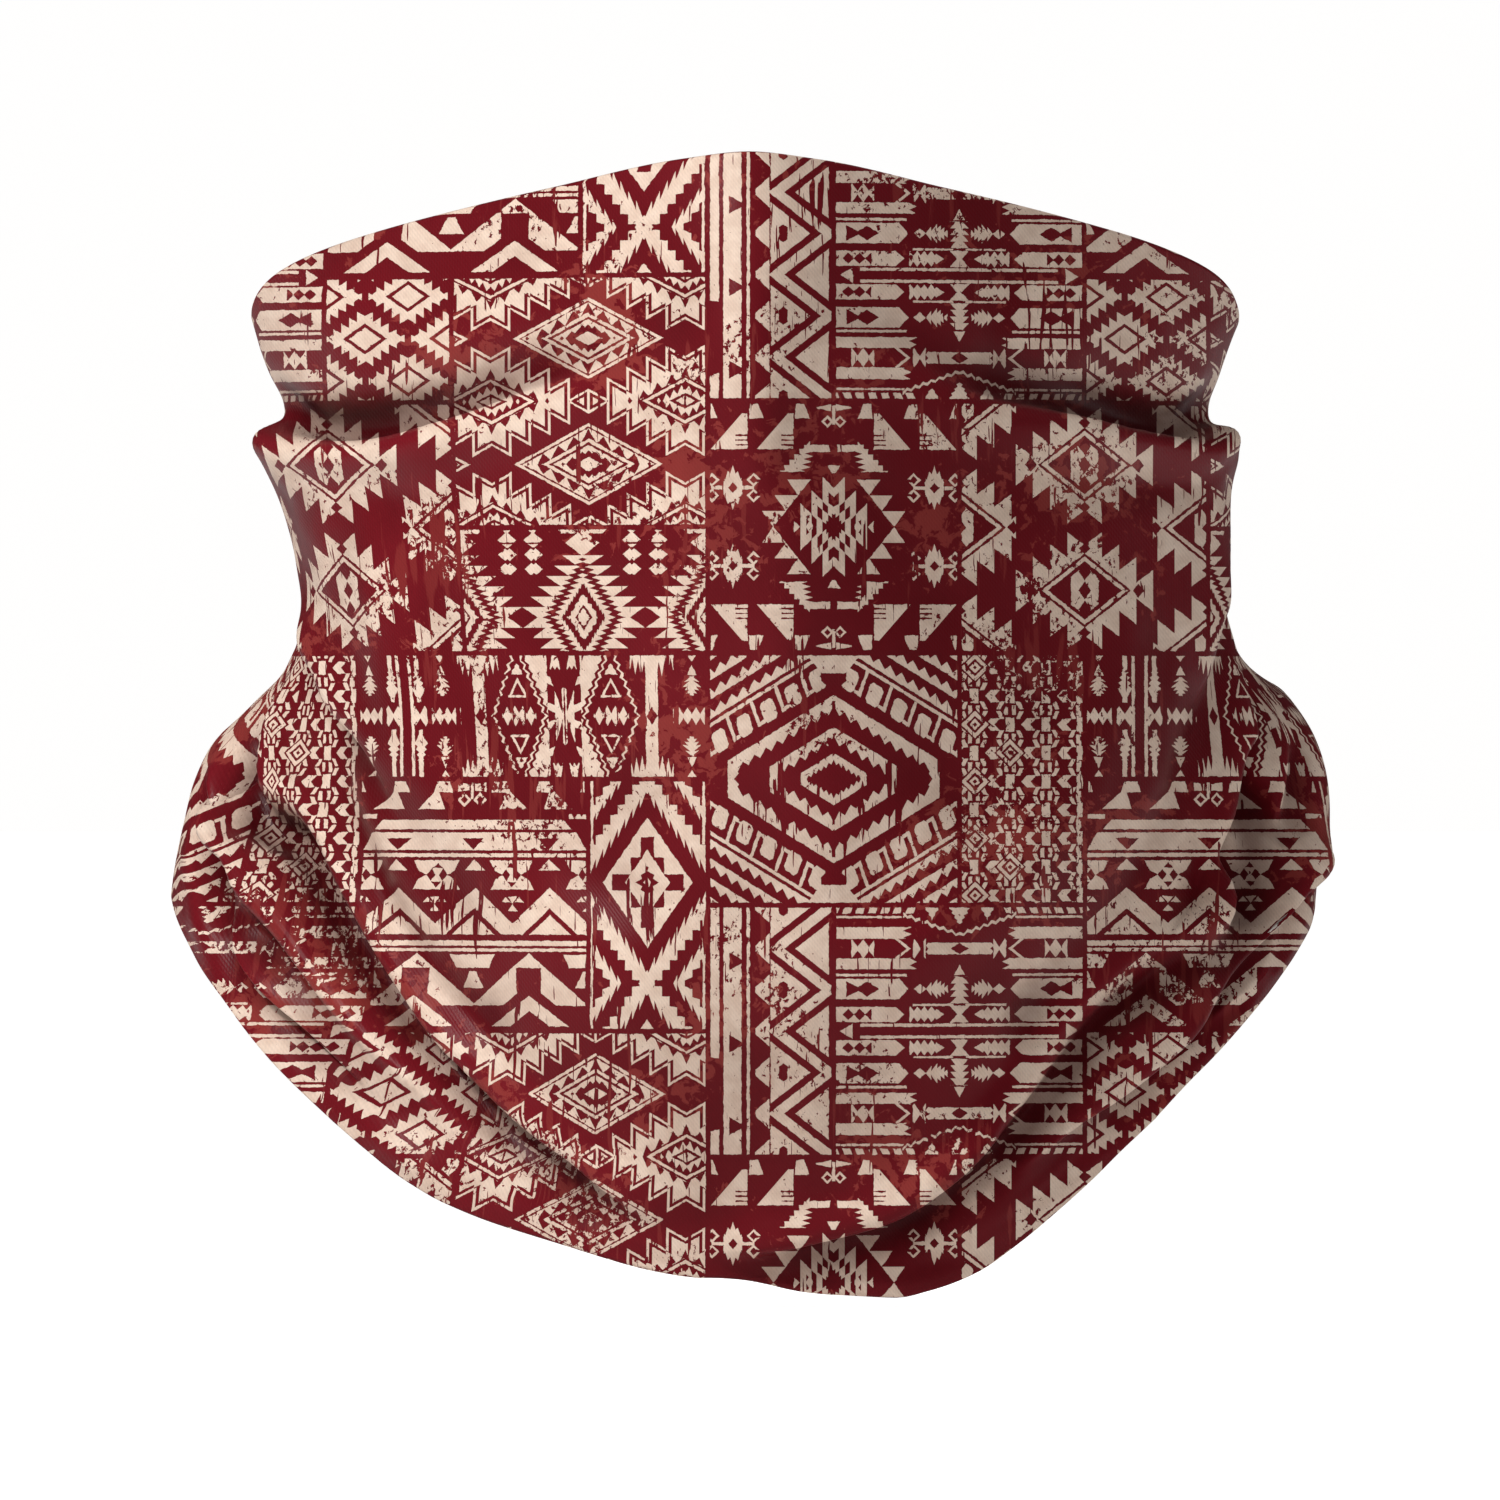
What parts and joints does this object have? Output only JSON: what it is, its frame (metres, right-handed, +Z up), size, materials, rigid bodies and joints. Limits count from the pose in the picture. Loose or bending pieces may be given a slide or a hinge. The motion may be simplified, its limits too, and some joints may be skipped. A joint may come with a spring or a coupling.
{
  "type": "neck gaiter",
  "caption": "Tubular jersey neck gaiter worn as a face cover: high over the nose, snug over the ears, with a loose folded collar and a patchwork geometric print.",
  "frame": {"origin": "middle of the bounding box, at the height of the lowest point of the lower hem", "axes": "+Z up along the neck, -Y the way the nose points, +X to the wearer's left"},
  "size_m": [0.1932, 0.1988, 0.19],
  "materials": {
    "printed_jersey": "brushed polyester jersey, crimson and cream print, worn look",
    "jersey_reverse": "unprinted reverse of the jersey, off-white with the print showing faintly through",
    "sewing_thread": "tonal polyester thread",
    "label_tape": "plain woven satin tape, blank",
    "label_thread": "off-white polyester thread"
  },
  "bodies": {
    "neck_wrap": {"neck_panel": "printed_jersey", "seam_allowance_left": "jersey_reverse", "seam_allowance_right": "jersey_reverse", "seam_needle_thread_left": "sewing_thread", "seam_needle_thread_right": "sewing_thread", "seam_looper_thread": "sewing_thread", "care_label": "label_tape", "care_label_thread": "label_thread"},
    "face_cover": {"face_panel": "printed_jersey", "top_hem_ply": "printed_jersey", "top_hem_thread": "sewing_thread"},
    "lower_hem": {"drape_panel": "printed_jersey", "bottom_hem_ply": "printed_jersey", "bottom_hem_thread": "sewing_thread"}
  },
  "joints": [
    {"name": "face_cover_pull_down", "type": "hinge", "parent": "neck_wrap", "child": "face_cover", "pos_m": [0, 0.0955, 0.146], "axis": [1, 0, 0], "range_deg": [0, 25], "stiffness_Nm_per_rad": 1.2, "deforming": ["face_panel"]},
    {"name": "collar_pull_down", "type": "hinge", "parent": "neck_wrap", "child": "lower_hem", "pos_m": [0, -0.0755, 0.003], "axis": [-1, 0, 0], "range_deg": [0, 7], "stiffness_Nm_per_rad": 0.9, "deforming": ["drape_panel"]}
  ]
}
